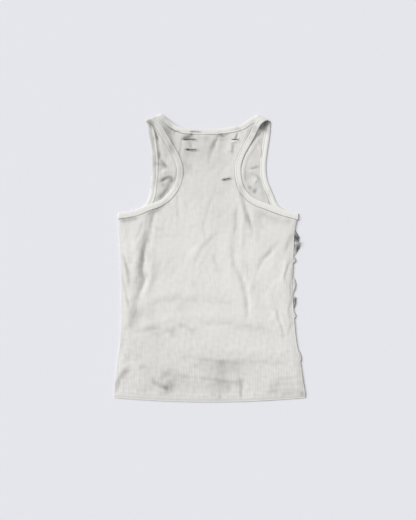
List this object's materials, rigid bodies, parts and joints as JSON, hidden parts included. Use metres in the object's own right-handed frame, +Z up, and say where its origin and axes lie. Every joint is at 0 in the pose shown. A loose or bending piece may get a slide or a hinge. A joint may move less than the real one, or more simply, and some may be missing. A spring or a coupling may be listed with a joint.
{
  "type": "ribbed racerback tank top laid flat",
  "caption": "Off-white rib-knit racerback tank top laid flat with its back up, with bound neck and armholes and slits in the upper back.",
  "frame": {"origin": "middle of the laid-out garment's footprint, on the surface it lies on", "axes": "+Y from the hem to the neck, +Z up out of the back of the garment, +X to the right as seen from above"},
  "size_m": [0.3932, 0.5906, 0.0059],
  "materials": {
    "rib_knit": "matt off-white rib knit in cotton, a little stretched and worn",
    "rib_knit_inside": "inner face of the same matt off-white rib knit",
    "rib_band": "doubled strip of the same knit, stitched along its seam"
  },
  "bodies": {
    "root": {"back_panel": "rib_knit", "front_panel": "rib_knit_inside", "neck_binding": "rib_band", "armhole_binding_left": "rib_band", "armhole_binding_right": "rib_band"}
  },
  "joints": []
}
